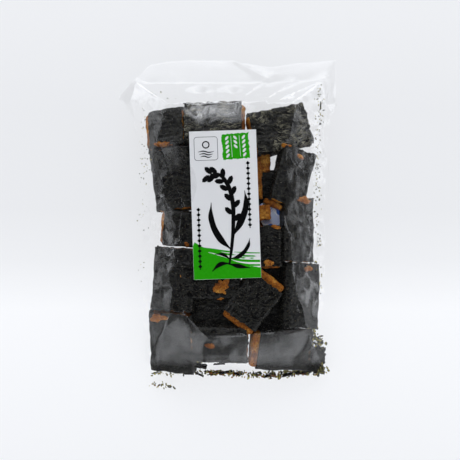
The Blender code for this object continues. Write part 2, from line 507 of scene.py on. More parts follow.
def scrap_material():
    """Thin single scraps of laver, in patches from black-green to olive, their own colour; the palest
    olive patches are painted light shining through them and painted highlight.
    """
    material = new_material("thin_seaweed_scraps")
    place = add_node(material, "TexCoord").outputs["Object"]
    patches = add_node(material, "TexNoise", Vector=place, Scale=1 / (1.7 * MM), Detail=3.0)
    # The palest stop is painted light through the scraps and painted highlight
    base = add_node(
        material, "ValToRGB", Fac=patches, stops=[(0.4, "0c0d09"), (0.5, "3d3d1c"), (0.57, "b0a650")]
    )
    shader = add_node(material, "BsdfPrincipled", Base_Color=base, Roughness=0.5, IOR=1.4)
    add_node(material, "OutputMaterial", Surface=shader)
    return material


FLOOR_GLOW = 0.81
FLOOR_NEAR, FLOOR_FAR = -170 * MM, 155 * MM
# How bright the sheet glows on its way from near to far
FLOOR_LEVELS = [
    (0.0, 0.89), (0.24, 0.94), (0.34, 0.96), (0.45, 0.85), (0.56, 0.8), (0.78, 0.8), (1.0, 0.84),
]


def floor_material():
    """A pale seamless sheet lit evenly, as on a light table, a little brighter towards its near end."""
    material = new_material("pale_seamless_sheet")
    place = add_node(material, "TexCoord").outputs["Object"]
    parts = add_node(material, "SeparateXYZ", Vector=place)
    along = add_node(
        material, "MapRange", Value=parts.outputs["Y"], From_Min=FLOOR_NEAR, From_Max=FLOOR_FAR
    )
    level = add_node(material, "ValToRGB", Fac=along, stops=[(y, (v, v, v, 1)) for y, v in FLOOR_LEVELS])
    strength = add_node(material, "Math", MULTIPLY, _0=level, _1=FLOOR_GLOW)
    diffuse = add_node(material, "BsdfDiffuse", Color=(0.24, 0.24, 0.245, 1))
    glow = add_node(material, "Emission", Color=(0.96, 0.975, 1, 1), Strength=strength)
    both = add_node(material, "AddShader", _0=diffuse, _1=glow)
    add_node(material, "OutputMaterial", Surface=both)
    return material


seaweed, thin_seaweed = seaweed_material(), scrap_material()
rice = cracker_material()


# ---------------------------------------------------------------- crackers


WRAP_CORNER = 2.6 * MM
WRAP_THICKNESS = 0.3 * MM
WRAP_LIP = 3 * MM  # how deep the wrap's open end reaches round the cracker
TORN_REACH = 5 * MM  # how far in from its ends the wrap is torn and uneven
SIDE_INSET = 1.3 * MM  # from the wrap's face in to the cracker
CRACKER_CORNER = 2.2 * MM
PROTO = Vector((42 * MM, 28 * MM, 11.5 * MM))
CORE = PROTO - Vector((0.4 * MM, 2 * SIDE_INSET, 2 * SIDE_INSET))


def add_block(name, size):
    block = start_from(bpy.ops.mesh.primitive_cube_add, size=1)
    block.name = name
    block.scale = size
    settle(block)
    return block


def pick_edges(mesh, axis, longer_than=0.0):
    """While editing, select just the edges that run along an axis."""
    for element in (*mesh.faces, *mesh.edges, *mesh.verts):
        element.select_set(False)
    for edge in mesh.edges:
        run = edge.verts[1].co - edge.verts[0].co
        if run.length > longer_than and abs(run.normalized()[axis]) > 0.999:
            edge.select_set(True)


def model_wrap(size, grain):
    """A seaweed sheet folded round a cracker: a flat tube with soft corners, open at its ends."""
    wrap = add_block("wrap", size)
    open_mesh(wrap)
    pick(wrap, "FACE", lambda face: abs(face.normal.x) > 0.9)
    bpy.ops.mesh.delete(type="ONLY_FACE")
    bpy.ops.mesh.select_mode(type="EDGE")
    pick_edges(bmesh.from_edit_mesh(wrap.data), 0)
    bpy.ops.mesh.bevel(offset=WRAP_CORNER, segments=4, affect="EDGES")
    for axis, span in enumerate((size[0], size[1] - 2 * WRAP_CORNER, size[2] - 2 * WRAP_CORNER)):
        pick_edges(bmesh.from_edit_mesh(wrap.data), axis, longer_than=0.8 * span)
        bpy.ops.mesh.subdivide(number_cuts=max(1, round(span / grain) - 1))
    close_mesh()
    return wrap


def turn_in_ends(wrap):
    """Close the wrap: its torn ends get the sheet's thickness and a lip that goes in round the cracker."""
    open_mesh(wrap)
    bpy.ops.mesh.select_mode(type="FACE")
    bpy.ops.mesh.fill_holes(sides=0)
    pick(wrap, "FACE", lambda face: len(face.verts) > 8)
    bpy.ops.mesh.inset(thickness=WRAP_THICKNESS, use_even_offset=False)
    bpy.ops.mesh.inset(thickness=0.05 * MM, depth=-WRAP_LIP, use_even_offset=False)
    close_mesh()


def model_core(size, grain):
    """The rice cracker itself: a puffed block with soft edges."""
    core = add_block("core", size)
    open_mesh(core)
    bpy.ops.mesh.bevel(offset=CRACKER_CORNER, segments=2, affect="EDGES")
    close_mesh()
    grid = core.modifiers.new("grid", "REMESH")
    grid.mode = "VOXEL"
    grid.voxel_size = grain
    finish_modifiers(core)
    return core


# The crackers against the front are fine, and those below them coarse
fine_pair = model_wrap(PROTO, 0.82 * MM), model_core(CORE, 1.3 * MM)
coarse_pair = model_wrap(PROTO, 1.9 * MM), model_core(CORE, 2.0 * MM)


def weigh(piece, name, weight_at):
    """Add a vertex group from a rule that gives each point its weight."""
    group = piece.vertex_groups.new(name=name)
    for vert in piece.data.vertices:
        weight = weight_at(vert)
        if weight > 0:
            group.add([vert.index], weight, "REPLACE")


def mark(piece, name, values):
    """Give each point of a piece a value that its material reads."""
    attribute = piece.data.attributes.new(name, "FLOAT", "POINT")
    attribute.data.foreach_set("value", values)


def make_cracker(number, pair, length, width, height, bare_low, bare_high, creasing):
    """One cracker about the origin, its length along X: returns its core and its wrap."""
    wrap = duplicate(pair[0], f"wrap_{number}")
    core = duplicate(pair[1], f"core_{number}")
    wrap.scale = ((length - bare_low - bare_high) / PROTO[0], width / PROTO[1], height / PROTO[2])
    wrap.location = ((bare_low - bare_high) / 2, 0, 0)
    core.scale = (length / PROTO[0], width / PROTO[1], height / PROTO[2])
    settle(wrap)
    settle(core)

    half = max(abs(v.co.x) for v in wrap.data.vertices)
    weigh(wrap, "ends", lambda vert: ease(abs(vert.co.x), half - TORN_REACH, half))
    edge = rng.uniform(-0.35, 0.35) * width

    def overlap(vert):
        """The sheet's outer end lies over its start with a slightly wavy edge."""
        border = edge + 0.8 * MM * math.sin(vert.co.x / (5 * MM) + edge * 900)
        return ease(vert.co.y, border, border + 0.5 * MM) if vert.co.z > 0 else 0.0

    weigh(wrap, "overlap", overlap)
    plain = guide_at((number * 0.21, 0.3, number * 0.07))
    turn = rng.uniform(-0.3, 0.3)
    folds = guide_at((number * 0.37, number * 0.11, 0.05), turn, (8 * MM, 2.5 * MM, 5 * MM))
    crumple = guide_at((number * 0.31, 0.2, 0.1), turn, (6 * MM, 3.6 * MM, 5 * MM))
    bpy.context.view_layer.update()
    press_relief(wrap, TEARS, 3.6 * MM, direction="X", group="ends", guide=plain)
    for piece in (wrap, core):
        press_relief(piece, DENTS, 2.1 * MM, guide=plain)
    press_relief(wrap, CRUMPLE, 0.2 * creasing, guide=crumple)
    press_relief(wrap, FOLDS, 0.26 * creasing, guide=folds)
    press_relief(wrap, None, WRAP_THICKNESS, group="overlap")
    press_relief(core, PUFFS, 1.4 * MM, guide=plain)
    finish_modifiers(wrap)
    finish_modifiers(core)
    # How much painted ridge highlight the wrap gets: most on the most creased, the top-row crackers
    mark(wrap, "ridge_highlight_share", [ease(creasing, 2 * MM, 3.6 * MM)] * len(wrap.data.vertices))
    turn_in_ends(wrap)
    discard(plain, folds, crumple)
    return core, wrap


def average_slope(x, y, turn, height_at, reach_along, reach_across, shares):
    """How a surface lies round a place, seen from above.

    Gives the turn of a piece that lies on it, its level, and how far its lowest spot falls short.
    """
    along = Vector((math.cos(turn), math.sin(turn)))
    across = Vector((-along.y, along.x))
    samples = []
    for u in shares:
        for v in shares:
            spot = Vector((x, y)) + along * (u * reach_along) + across * (v * reach_across)
            samples.append((spot.x - x, spot.y - y, height_at(spot.x, spot.y)))
    samples = np.array(samples)
    design = np.column_stack([samples[:, 0], samples[:, 1], np.ones(len(samples))])
    slope_x, slope_y, level = np.linalg.lstsq(design, samples[:, 2], rcond=None)[0]
    spare = (samples[:, 2] - design @ np.array([slope_x, slope_y, level])).min()
    normal = Vector((-slope_x, -slope_y, 1)).normalized()
    x_axis = Vector((along.x, along.y, along.x * slope_x + along.y * slope_y)).normalized()
    turned = Matrix((x_axis, normal.cross(x_axis), normal)).transposed().to_4x4()
    return turned, level, spare


FILM_ROOM = 1.3 * MM  # between the film and what lies against it
EVEN_SPREAD = (-0.48, -0.24, 0, 0.24, 0.48)  # over a piece's length and width


def lie_under_film(x, y, length, width, height, turn, sink):
    """The place of a piece whose top lies against the film or some way below it, all in mm."""
    turned, level, spare = average_slope(
        x * MM, y * MM, math.radians(turn), front_height, length * MM, width * MM,
        EVEN_SPREAD,
    )
    top = Vector((x * MM, y * MM, level + spare - FILM_ROOM))
    return Matrix.Translation(top) @ turned @ Matrix.Translation((0, 0, -(height / 2 + sink) * MM))


def put_at(place, *pieces):
    for piece in pieces:
        piece.matrix_world = place
        settle(piece)


# Crackers against the front: place of the middle, length and width in mm, turn of the length
# in degrees, how far below the film, how far it leans about its length in degrees, how much of
# each end is left bare, and how creased it is
FRONT_CRACKERS = [
    (-44.8, 67.0, 29, 27, 8, 1.5, -8, 3.6, 0.2, 1.8),
    (-9.0, 71.0, 42.4, 29.5, 1.5, 2.5, -13, 0.3, 2.2, 3.4),
    (36.8, 66.6, 42.2, 29.5, 13, 2, -10, 1.8, 0.2, 3.3),
    (-37.6, 31.7, 43, 29, 97, 0, 0, 1, 0.2, 1.1),
    (-25.6, -2.5, 42, 24, -4, 0, 0, 2.4, 0.3, 1.0),
    (-37.6, -37.3, 44, 30, 86, 0, 0, 0.6, 0.2, 1.1),
    (-39.6, -81.6, 44, 31, 91, 0, 0, 0.2, 0.3, 0.8),
    (-5.6, -83, 39, 26, -1, 1, 0, 0.3, 0.3, 0.8),
    (36.6, -87.8, 42.4, 29.5, -3, 0, 0, 5.5, 0.2, 0.7),
    (52.4, -48.2, 45, 28, 88, 0, 0, 0.2, 0.3, 0.9),
    (50, -2.5, 45, 22.5, 89, 0, 0, 0.3, 0.4, 0.8),
    (46.2, 33.4, 40, 25, 75, 0, 0, 0.3, 0.4, 0.8),
    (17.8, -51.6, 42, 27, 54, 0, 0, 4.5, 5, 2.0),
    (-11.9, -37.3, 42, 26, 2, 1, 0, 0.4, 1, 1.6),
    (-14, -61.2, 38, 24, 3, 9, 0, 0.3, 0.3, 2.2),
    (32.5, 25.4, 24, 26, 0, 11, 0, 0.5, 0.5, 1.2),
    (24.3, -14.2, 29, 26, 90, 2, 0, 0.5, 0.5, 1.4),
    (6.6, 7.8, 44, 24, 0, 11, 0, 0, 9, 1.0),
    (-0.9, 36.4, 42, 30, 92, 1, 0, 0.5, 0.5, 1.0),
    (32.5, -52, 46, 27, 88, 12, 0, 0.3, 0.3, 1.0),
]

# Where the sheet is torn and the cracker shows: place, length and width in mm, turn in degrees
BARE_PATCHES = [
    (-44.3, 55.6, 14, 4.5, 5),
    (-5.1, -43.6, 13, 12, 40),
    (-12.6, -82.2, 7, 4.4, 8),
    (49.8, 47.4, 4.5, 2.6, -30),
    (40.6, 54.4, 6, 2.6, -5),
    (-47.5, -63.8, 9.5, 6, 20),
    (55.6, -28.8, 6.5, 5, 0),
    (52.4, 17.0, 11, 4.2, -4),
    (-28, -13, 3.5, 4, 0),
    (-31.5, 12.6, 8, 2.6, 6),
    (34, -1.2, 6, 3, -5),
    (28, -25.5, 6, 3, 10),
    (-55.4, 71.4, 10, 4.4, 97),
]

# Pieces that have lost their sheet: place, length, width and thickness in mm, turn, how far down
BARE_PIECES = [
    (24.8, 44.4, 14, 9, 8, 96, 10),
    (19.8, 32, 27, 8, 7, 92, 7),
    (25.2, 9.3, 9, 10.5, 8, 4, 4),
    (31.5, 14.8, 13.5, 3.5, 6, -24, 5),
]

cores, wraps = [], []
for number, row in enumerate(FRONT_CRACKERS):
    x, y, length, width, turn, sink, lean, bare_low, bare_high, creasing = row
    height = rng.uniform(10.5, 12.5)
    core, wrap = make_cracker(
        number, fine_pair, length * MM, width * MM, height * MM, bare_low * MM, bare_high * MM,
        creasing * MM,
    )
    place = lie_under_film(x, y, length, width, height, turn, sink)
    put_at(place @ Matrix.Rotation(math.radians(lean), 4, "X"), core, wrap)
    cores.append(core)
    wraps.append(wrap)

for number, (x, y, length, width, height, turn, sink) in enumerate(BARE_PIECES):
    core = duplicate(fine_pair[1], f"bare_{number}")
    core.scale = (length * MM / CORE.x, width * MM / CORE.y, height * MM / CORE.z)
    settle(core)
    roughen(core, (0.5 + number * 0.2, 0.1, 0), (DENTS, 2.5 * MM), (PUFFS, 1.3 * MM))
    put_at(lie_under_film(x, y, length, width, height, turn, sink), core)
    cores.append(core)

BACK_CLEARANCE = 1.3 * MM
LAYER = 11 * MM  # about the height of one more cracker below
LAYER_GAP = 0.5 * MM
TALLEST = 12.5 * MM
UNDER_LENGTH, UNDER_WIDTH = 0.95, 0.92  # of the cracker above
UNDER_X, UNDER_Y = 0.95, 0.97  # of its place, because the bag narrows below
FIRST_UNDER = 40  # numbered from here, so that no two crackers show the same part of a relief
lower_cores, lower_wraps = [], []
for number, wrap in enumerate(wraps):
    x, y, length, width, turn = FRONT_CRACKERS[number][:5]
    room = min(v.co.z for v in wrap.data.vertices) - BACK_CLEARANCE
    layers = round(room / LAYER)
    for layer in range(layers):
        core, under_wrap = make_cracker(
            FIRST_UNDER + 3 * number + layer, coarse_pair, UNDER_LENGTH * length * MM,
            UNDER_WIDTH * width * MM, min(TALLEST, room / layers - LAYER_GAP),
            rng.uniform(0.3, 2.5) * MM, rng.uniform(0.3, 2.5) * MM, rng.uniform(0.6, 1.1) * MM,
        )
        spot = Vector((UNDER_X * x + rng.uniform(-1, 1), UNDER_Y * y + rng.uniform(-1, 1), 0)) * MM
        spot.z = BACK_CLEARANCE + (layer + 0.5) * room / layers
        turned = Matrix.Rotation(math.radians(turn + rng.uniform(-3, 3)), 4, "Z")
        put_at(Matrix.Translation(spot) @ turned, core, under_wrap)
        lower_cores.append(core)
        lower_wraps.append(under_wrap)
discard(*fine_pair, *coarse_pair)

front_seaweed = put_together(wraps, "front_seaweed", "seaweed", seaweed)
put_together(lower_wraps, "back_seaweed", "seaweed", seaweed)
put_together(lower_cores, "back_crackers", "cracker", rice)


def ragged(u, v, length, width, number, depth, pitch):
    """How much a torn outline grows or shrinks at a spot given in shares of the piece's size."""
    return 1 + depth * noise.noise(Vector((u * length, v * width, number * 16)) * pitch)


CHIP_TEAR, CHIP_PITCH = 0.9, 0.36  # share of the size, and per mm
CHIP_THICKNESS = 2.6 * MM
CHIP_RISE = 0.1 * MM  # of its middle above the sheet it has torn through

seaweed_height = surface_of(front_seaweed)
for number, (x, y, length, width, turn) in enumerate(BARE_PATCHES):
    chip = start_from(bpy.ops.mesh.primitive_ico_sphere_add, subdivisions=4, radius=0.5)
    for vert in chip.data.vertices:
        tear = ragged(vert.co.x, vert.co.y, length, width, number, CHIP_TEAR, CHIP_PITCH)
        vert.co.x *= tear
        vert.co.y *= tear
    chip.scale = (length * MM, width * MM, CHIP_THICKNESS)
    settle(chip)
    roughen(chip, (0.8 + number * 0.1, 0.3, 0), (TEARS, 3.0 * MM), (PUFFS, 1.2 * MM))
    turned, level, _ = average_slope(
        x * MM, y * MM, math.radians(turn), seaweed_height, 0.4 * length * MM, 0.4 * width * MM,
        (-1, 0, 1),
    )
    raised = Matrix.Translation((0, 0, CHIP_RISE))
    put_at(Matrix.Translation((x * MM, y * MM, level)) @ turned @ raised, chip)
    cores.append(chip)
put_together(cores, "front_crackers", "cracker", rice)


# ---------------------------------------------------------------- drying sachet

SACHET = (34, 26, 3)  # mm
SACHET_BELLY = (12.6 * MM, 9.6 * MM)  # half of its filled part, inside the crimped edges


def make_sachet():
    """A small flat sachet with crimped edges, slipped down between the crackers."""
    sachet = add_block("sachet", Vector(SACHET) * MM)
    open_mesh(sachet)
    bpy.ops.mesh.subdivide(number_cuts=7)
    across, along = SACHET_BELLY
    pick(sachet, "VERT", lambda vert: abs(vert.co.x) > across or abs(vert.co.y) > along)
    bpy.ops.transform.resize(value=(1, 1, 0.12))
    close_mesh()
    round_off(sachet, 1)
    press_relief(sachet, cloud_texture("sachet_folds", 9 * MM), 1.6 * MM)
    finish_modifiers(sachet)
    put_at(lie_under_film(38.5, 4, *SACHET, turn=-58, sink=5), sachet)
    coat(sachet, sachet_material())
    bpy.ops.object.shade_smooth()
    return hand_over(sachet, "sachet", "bag")


make_sachet()


# ---------------------------------------------------------------- scraps and crumbs


def model_bit(flatness):
    """One small irregular bit, a millimetre across."""
    bit = start_from(bpy.ops.mesh.primitive_ico_sphere_add, subdivisions=2, radius=0.5 * MM)
    bit.scale = (1, 1, flatness)
    settle(bit)
    return bit


# Where loose bits have gathered: the two ends of a line and how far they stray from it in mm, how
# many, how small and how large, and whether they cling to the front film or lie on the back one
NORI_BITS = [
    ((-58, 84), (-58, 30), 3.8, 42, 0.35, 0.9, True),
    ((-58.5, 30), (-60, -40), 3, 20, 0.35, 0.8, True),
    ((64.5, 100), (63.5, 60), 3.2, 60, 0.4, 1.1, True),
    ((63, 60), (62.5, -15), 2.8, 100, 0.4, 1.1, True),
    ((63, -15), (65, -50), 2.4, 12, 0.4, 0.9, True),
    ((-56, 90), (-34, 88), 4, 9, 0.3, 0.6, True),
    ((57, -72), (66, -84), 3.8, 110, 0.8, 2.4, False),
    ((-36, -103.6), (4, -105), 1.8, 90, 0.6, 2.0, False),
    ((-10, -104), (30, -106.6), 2.2, 130, 0.6, 2.2, False),
    ((28, -106.2), (66, -102.6), 2.4, 170, 0.6, 2.4, False),
    ((-54, -104.6), (-34, -104.8), 1.5, 44, 0.5, 1.5, False),
    ((-53.5, -112), (-39, -114.4), 1.8, 38, 0.5, 1.5, False),
    ((-23, -96.4), (14, -97.2), 0.9, 46, 0.6, 1.9, False),
    ((58, -88), (70, -104), 2.6, 40, 0.8, 2.0, False),
    ((60, -21), (61, -26), 0.8, 6, 0.8, 1.5, True),
]
CRACKER_CRUMBS = [
    ((-14, -104.6), (34, -107), 1.6, 56, 0.7, 1.9, False),
    ((36, -106.4), (64, -104), 1.7, 34, 0.7, 1.8, False),
    ((-54, -112.5), (-41, -115), 1.0, 5, 0.7, 1.4, False),
]

BIT_EDGES = cloud_texture("bit_edges", 0.9 * MM, depth=1)
CLINGING = 0.7  # share of the bits by the front film that cling to it
BIT_ROOM = 0.9 * MM  # below the film


def scatter_bits(groups, proto, name, slot, material):
    bits = []
    for start, end, stray, count, small, large, clings in groups:
        start, end = Vector(start), Vector(end)
        for step in range(count):
            spot = start.lerp(end, rng.random()) + Vector((rng.gauss(0, 0.5), rng.gauss(0, 0.5))) * stray
            x, y = spot * MM
            size = rng.uniform(small, large)
            if clings and rng.random() < CLINGING:
                z = front_height(x, y) - BIT_ROOM
            else:
                z = back_height(x, y) + rng.uniform(0.4, 2.5) * MM
            z = max(z, back_height(x, y) + (0.4 + 0.5 * size) * MM)
            bit = duplicate(proto, "bit")
            bit.scale = (size * rng.uniform(1.0, 1.7), size * rng.uniform(0.5, 1.0), size)
            bit.rotation_euler = (rng.uniform(-0.6, 0.6), rng.uniform(-0.6, 0.6), rng.uniform(0, 6.28))
            bit.location = (x, y, z)
            bits.append(bit)
    settle(*bits)
    joined = join_all(bits, name)
    roughen(joined, (0.4, 0.1, 0), (BIT_EDGES, 0.9 * MM))
    discard(proto)
    joined.data.materials.append(material)
    return hand_over(joined, slot, "bag")


scatter_bits(NORI_BITS, model_bit(0.16), "seaweed_crumbs", "seaweed", thin_seaweed)
scatter_bits(CRACKER_CRUMBS, model_bit(0.7), "cracker_crumbs", "cracker", rice)

# Torn scraps of sheet at the foot of the bag: place, height, length, width in mm, turn and curl in
# degrees
SCRAPS = [
    (62, -94.8, 7, 19, 13.5, 84, 30),
    (-19.2, -98.8, 9, 9, 5.4, -14, 150),
    (-6, -97.2, 11, 9, 1.6, 3, 60),
    (-2, -104.2, 4, 8, 1.9, 12, 70),
    (7, -105.4, 4, 5, 1.7, -22, 70),
    (-28, -104.9, 4, 6, 1.7, -4, 50),
    (-19, -106, 4, 4.5, 1.5, -24, 50),
    (42, -105.8, 4, 7, 2.4, 12, 60),
    (53, -104.6, 4, 9, 2.6, -5, 60),
    (28, -106.8, 3, 5, 1.8, 20, 50),
    (65.4, 84.4, 11, 6, 0.9, 88, 30),
]
TEAR_DEPTH, TEAR_PITCH = 0.32, 0.42  # share of the size, and per mm
SCRAP_GRID = 0.7  # mm
SCRAP_THICKNESS = 0.2 * MM


def make_scrap(number, length, width, curl):
    """A torn piece of sheet: ragged outline, curled across its width."""
    scrap = start_from(
        bpy.ops.mesh.primitive_grid_add, x_subdivisions=max(6, round(length / SCRAP_GRID)),
        y_subdivisions=max(4, round(width / SCRAP_GRID)), size=1,
    )
    radius = width / max(0.2, math.radians(curl))
    for vert in scrap.data.vertices:
        u, v = vert.co.x, vert.co.y
        tear = ragged(u, v, length, width, number, TEAR_DEPTH, TEAR_PITCH)
        angle = math.radians(curl) * v
        vert.co = Vector((
            u * length * tear, radius * math.sin(angle) * tear, radius * (math.cos(angle) - 1)
        )) * MM
    press_relief(scrap, PUFFS, 1.0 * MM)
    give_wall(scrap, SCRAP_THICKNESS)
    return scrap


scraps = []
for number, (x, y, z, length, width, turn, curl) in enumerate(SCRAPS):
    scrap = make_scrap(number, length, width, curl)
    scrap.location = (x * MM, y * MM, z * MM)
    scrap.rotation_euler = (0, 0, math.radians(turn))
    settle(scrap)
    scraps.append(scrap)
put_together(scraps, "seaweed_scraps", "seaweed", seaweed)


# ---------------------------------------------------------------- film

HEADER_FOOT = 92 * MM  # above this the film lies flat and empty
FACING_UP = 0.15  # the upper face's normals rise at least this much
CREASE_RISE, CREASE_REACH = 0.33, 1.3  # mm
SCORED = 1.5 * MM  # faces this near a fold's line are cut along it
SWELL_TOP = 2.5 * MM  # the round that a swell is pulled up by

# Places where the film stands fuller or flatter than its general form: x, y, rise and reach in mm
SWELLS = [
    (-46, 27, 3.2, 34),
    (-6, -66, 2.2, 16),
    (46, 113, 1.4, 26),
    (-18, 86, -3, 16),
    (3, 86, -3, 16),
]

# Thin creases where the flat front turns into the sides and the foot, place by place, in mm
CREASES = [
    [(-45.9, 53.3), (-30.2, 13.9), (-32.3, -10), (-34.3, -24.9), (-38.4, -58.9)],
    [(-38.4, -58.9), (-29.5, -58.9), (-14.6, -74.6), (8.6, -73.9), (28, -72.3), (52.8, -69.1)],
    [(47.3, 81.9), (40.5, 56), (39.2, 46)],
    [(38.5, 6), (38.5, 0.3), (42.6, -8.6), (45, -39.9), (47.3, -56.2), (52.8, -69.1)],
]

# Folds in the film: from, to, how high and how far their sides run out, in mm
FOLDS_IN_FILM = [
    ((2.5, 117.2), (26, 103.8), 1.0, 5),
    ((30, 104), (12.5, 91), 0.8, 4),
    ((30, 103), (20, 86.5), 0.6, 4),
    ((44, 99.5), (24.5, 86), 1.0, 4),
    ((68, 103), (44, 91), 1.0, 5),
    ((44, 91), (29, 83), 0.8, 4),
    ((-66, 102), (-41, 84), 1.0, 4),
    ((-34, -13), (-50, -29), 0.9, 5),
    ((-50, -29), (-52, -53), 0.5, 4),
]


def near_segment(point, start, end):
    """How far a point is, seen from above, from a straight line between two places."""
    run = end - start
    share = max(0.0, min(1.0, (point - start).dot(run) / run.length_squared))
    return (point - start - run * share).length


def lift(rise, reach, falloff):
    """Pull what is selected up, and the film round it less and less."""
    bpy.ops.transform.translate(
        value=(0, 0, rise * MM), use_proportional_edit=True, use_proportional_connected=True,
        proportional_edit_falloff=falloff, proportional_size=reach * MM,
    )


def pinch(film, start, end, rise, reach):
    """Score a straight line across the film's upper face and lift it into a fold."""
    start, end = Vector(start) * MM, Vector(end) * MM
    run = (end - start).normalized()

    def is_near(face):
        if face.normal.z <= FACING_UP:
            return False
        return near_segment(face.calc_center_median().xy, start, end) < SCORED

    pick(film, "FACE", is_near)
    bpy.ops.mesh.bisect(plane_co=(start.x, start.y, 0), plane_no=(-run.y, run.x, 0))
    lift(rise, reach, "SHARP")


def swell(film, x, y, rise, reach):
    """Pull the film's upper face up round a place."""
    middle = Vector((x, y)) * MM
    pick(film, "VERT", lambda v: v.normal.z > FACING_UP and (v.co.xy - middle).length < SWELL_TOP)
    lift(rise, reach, "SMOOTH")


def slope_share(vert):
    """1 where the filled part's upper face slopes, less at the foot, and 0 where it lies flat."""
    y, lean = vert.co.y, 1 - vert.normal.z
    if lean >= 1:
        return 0.0
    at_foot = ease(y, -66 * MM, -74 * MM) * ease(y, -104 * MM, -98 * MM)
    below_header = ease(y, HEADER_FOOT, HEADER_FOOT - 6 * MM)
    off_table = ease(vert.co.z, 0, 8 * MM)
    return ease(lean, 0.02, 0.1) * ease(lean, 0.6, 0.35) * below_header * off_table * (1 - 0.75 * at_foot)


def drawn_in_share(vert):
    """Film gleams where it is gathered under the flap and over the top cracker, least at the foot."""
    x, y = vert.co.x / MM, vert.co.y / MM
    shoulder = 0.6 * ease(y, 84, 88) * ease(y, 101, 97)
    veil = ease(y, 66, 84) * ease(y, 92, 86) * ease(x, -33, -27) * ease(x, 14, 8)
    veil *= 1 - 0.35 * ease(x, -20, 10)
    return max(shoulder, veil) - 0.45 * ease(y, -92, -97)


def make_film():
    film = copy_of_node("bag", "film")
    bpy.ops.mesh.tris_convert_to_quads(face_threshold=math.radians(60), shape_threshold=math.radians(80))
    bpy.ops.mesh.select_mode(type="EDGE")
    bpy.ops.mesh.select_all(action="DESELECT")
    bpy.ops.mesh.edges_select_sharp(sharpness=math.radians(16))
    bpy.ops.transform.edge_crease(value=0.85)
    bpy.ops.mesh.mark_sharp(clear=True)
    close_mesh()
    round_off(film, 2)
    finish_modifiers(film)

    open_mesh(film, "DESELECT")
    for place in SWELLS:
        swell(film, *place)
    close_mesh()
    weigh(film, "slopes", slope_share)
    press_relief(film, cloud_texture("film_waves", 16 * MM), 3.5 * MM, group="slopes")
    press_relief(film, ridge_texture("film_crinkle", 22 * MM), 0.9 * MM, group="slopes")
    lengthwise = guide_at((0.02, 0.03, 0), scale=(9 * MM, 34 * MM, 30 * MM))
    bpy.context.view_layer.update()
    press_relief(film, CRUMPLE, 0.4 * MM, group="slopes", guide=lengthwise)
    finish_modifiers(film)
    discard(lengthwise)

    open_mesh(film, "DESELECT")
    for fold in FOLDS_IN_FILM:
        pinch(film, *fold)
    for crease in CREASES:
        for start, end in zip(crease, crease[1:]):
            pinch(film, start, end, CREASE_RISE, CREASE_REACH)
    close_mesh()
    mark(film, "drawn_in", [drawn_in_share(vert) for vert in film.data.vertices])
    coat(film, film_material())
    bpy.ops.object.shade_smooth_by_angle(angle=math.radians(35))
    return hand_over(film, "film", "bag")


make_film()


# ---------------------------------------------------------------- label


def make_label():
    label = copy_of_node("label", "paper_label")
    close_mesh()
    coat(label, label_material())
    bpy.ops.object.shade_smooth_by_angle(angle=math.radians(35))
    return hand_over(label, "label", "label")


label_height = surface_of(make_label())

FIRST_INK = 0.03 * MM  # green over the paper
SECOND_INK = 0.09 * MM  # black, and what is left white in the stamp
INK_FILM = 0.05 * MM
MARGIN = 0.1 * MM  # that ink keeps from the paper's edge
EDGE_X, EDGE_Y = LABEL_WIDTH / 2 - MARGIN, LABEL_LENGTH / 2 - MARGIN


def lay_on_label(piece, level):
    """Turn a flat shape drawn about the label's middle into place, and drape it on the paper."""
    settle(piece)
    turned = Matrix.Translation((LABEL_CENTRE.x, LABEL_CENTRE.y, 0)) @ Matrix.Rotation(LABEL_TURN, 4, "Z")
    for vert in piece.data.vertices:
        vert.co.x = max(-EDGE_X, min(EDGE_X, vert.co.x))
        vert.co.y = max(-EDGE_Y, min(EDGE_Y, vert.co.y))
        spot = turned @ vert.co
        vert.co = (spot.x, spot.y, spot.z + label_height(spot.x, spot.y) + level)


def draw_stroke(points):
    """A stroke through given places, as wide at each as the brush was pressed (all in mm)."""
    path = bpy.data.curves.new("stroke", "CURVE")
    path.dimensions = "3D"
    path.resolution_u = 8
    path.bevel_depth = 0.5 * MM
    path.bevel_resolution = 1
    path.use_fill_caps = True
    spline = path.splines.new("BEZIER")
    spline.radius_interpolation = "EASE"
    spline.bezier_points.add(len(points) - 1)
    for knot, (x, y, width) in zip(spline.bezier_points, points):
        knot.co = (x * MM, y * MM, 0)
        knot.radius = width
        knot.handle_left_type = knot.handle_right_type = "AUTO"
    stroke = bpy.data.objects.new("stroke", path)
    bpy.context.collection.objects.link(stroke)
    take_up(stroke)
    bpy.ops.object.convert(target="MESH")
    stroke.scale = (1, 1, 0.006)  # pressed flat
    settle(stroke)
    return stroke


def draw_bar(x, y, width, height, turn=0.0):
    bar = add_block("bar", (width * MM, height * MM, INK_FILM))
    bar.location = (x * MM, y * MM, 0)
    bar.rotation_euler = (0, 0, math.radians(turn))
    settle(bar)
    return bar


def print_shapes(shapes, name, material, level):
    for shape in shapes:
        lay_on_label(shape, level)
    joined = join_all(shapes, name)
    coat(joined, material)
    bpy.ops.object.shade_flat()
    return hand_over(joined, "label", "label")


green_ink = ink_material("green_offset_ink", "239406")
black_ink = ink_material("black_offset_ink", "020203")
grey_ink = ink_material("grey_offset_ink", "45474a")
white_ink = ink_material("unprinted_paper_white", "d2d3d5")

# The brushed upper edge of the green field: places across and up from the label's middle, in mm
FIELD_EDGE = [(-22.8, -28.4), (-17.3, -30.5), (-6.8, -34), (2.4, -37.2), (11, -41.4), (22.8, -43.5)]
